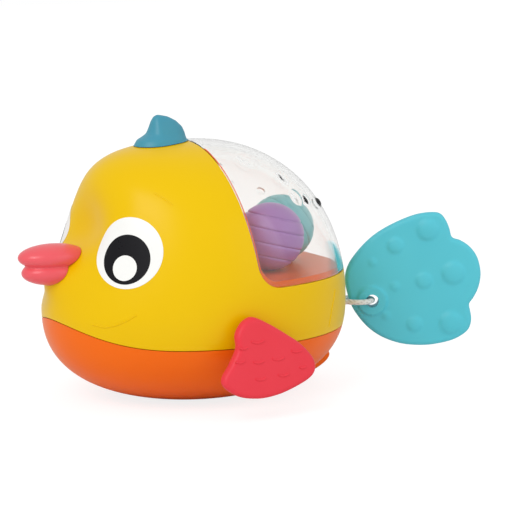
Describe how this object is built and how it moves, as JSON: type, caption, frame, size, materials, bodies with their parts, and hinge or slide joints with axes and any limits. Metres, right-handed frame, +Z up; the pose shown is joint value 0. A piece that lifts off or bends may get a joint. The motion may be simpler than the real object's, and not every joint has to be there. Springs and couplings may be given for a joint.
{
  "type": "fish bath toy",
  "caption": "Floating fish bath toy with a clear dome over loose balls; pulling its soft tail on a cord winds a spring motor that turns the flippers.",
  "frame": {"origin": "centre of the flat base on which the toy stands, under the middle of the body", "axes": "+X from nose to tail, +Y to the fish's right side, +Z up"},
  "size_m": [0.1971, 0.1276, 0.111],
  "materials": {
    "yellow_shell": "moulded ABS, smooth satin gloss",
    "orange_hull": "moulded ABS, smooth satin gloss",
    "clear_dome": "clear polystyrene, polished",
    "coral_soft": "soft TPE, satin",
    "coral_flipper": "moulded polypropylene, satin",
    "teal_soft": "soft TPE, satin",
    "aqua_soft": "soft TPE, matt",
    "purple_ball": "moulded ABS",
    "teal_ball": "moulded ABS",
    "white_cord": "braided nylon",
    "white_acetal": "moulded acetal",
    "natural_case": "moulded ABS, natural",
    "steel": "bright steel"
  },
  "bodies": {
    "body": {"upper_shell": "yellow_shell", "lower_hull": "orange_hull", "dome_window": "clear_dome", "ball_tray": "orange_hull", "lips": "coral_soft", "dorsal_fin": "teal_soft", "cord_guide": "white_acetal", "wound_cord": "white_cord", "left_axle_bush": "white_acetal", "right_axle_bush": "white_acetal", "motor_case_left": "natural_case", "motor_case_right": "natural_case", "reel_pin": "steel", "idler_pin": "steel", "mainspring": "steel", "hull_screw_1": "steel", "hull_screw_2": "steel", "hull_screw_3": "steel", "hull_screw_4": "steel", "motor_screw_1": "steel", "motor_screw_2": "steel", "motor_screw_3": "steel", "motor_screw_4": "steel"},
    "cord_end": {"pull_cord": "white_cord", "cord_ferrule": "white_acetal"},
    "tail": {"tail": "aqua_soft"},
    "reel": {"cord_reel": "white_acetal"},
    "idler": {"idler_gear": "white_acetal"},
    "paddles": {"drive_axle": "steel", "axle_pinion": "white_acetal", "left_flipper": "coral_flipper", "right_flipper": "coral_flipper"},
    "purple_ball": {"purple_ball": "purple_ball"},
    "teal_ball": {"teal_ball": "teal_ball"}
  },
  "joints": [
    {"name": "tail_pull", "type": "slide", "parent": "body", "child": "cord_end", "axis": [1, 0, 0], "range_m": [0, 0.18], "stiffness_N_per_m": 15, "springref_m": -0.1, "deforming": ["pull_cord"]},
    {"name": "tail_swing", "type": "hinge", "parent": "cord_end", "child": "tail", "pos_m": [0.0765, 0, 0.0296], "axis": [0, 0, 1], "range_deg": [-55, 115]},
    {"name": "reel_spin", "type": "hinge", "parent": "body", "child": "reel", "pos_m": [0.02218, 0, 0.0206], "axis": [0, 1, 0], "range_deg": [-1, 1160]},
    {"name": "idler_spin", "type": "hinge", "parent": "body", "child": "idler", "pos_m": [0.00419, 0, 0.02129], "axis": [0, 1, 0], "range_deg": [-1820, 1]},
    {"name": "paddle_spin", "type": "hinge", "parent": "body", "child": "paddles", "pos_m": [-0.005, 0, 0.029], "axis": [0, 1, 0], "range_deg": [-1, 2540]},
    {"name": "purple_ball_tumble", "type": "hinge", "parent": "body", "child": "purple_ball", "pos_m": [0.0195, -0.025, 0.06355], "axis": [0, 1, 0], "continuous": true},
    {"name": "teal_ball_tumble", "type": "hinge", "parent": "body", "child": "teal_ball", "pos_m": [0.037, -0.0045, 0.06355], "axis": [0, 1, 0], "continuous": true}
  ],
  "couplings": [
    {"joint": "reel_spin", "follows": "tail_pull", "rad_per_m": 111.11},
    {"joint": "idler_spin", "follows": "tail_pull", "rad_per_m": -174.6},
    {"joint": "paddle_spin", "follows": "tail_pull", "rad_per_m": 244.44}
  ]
}
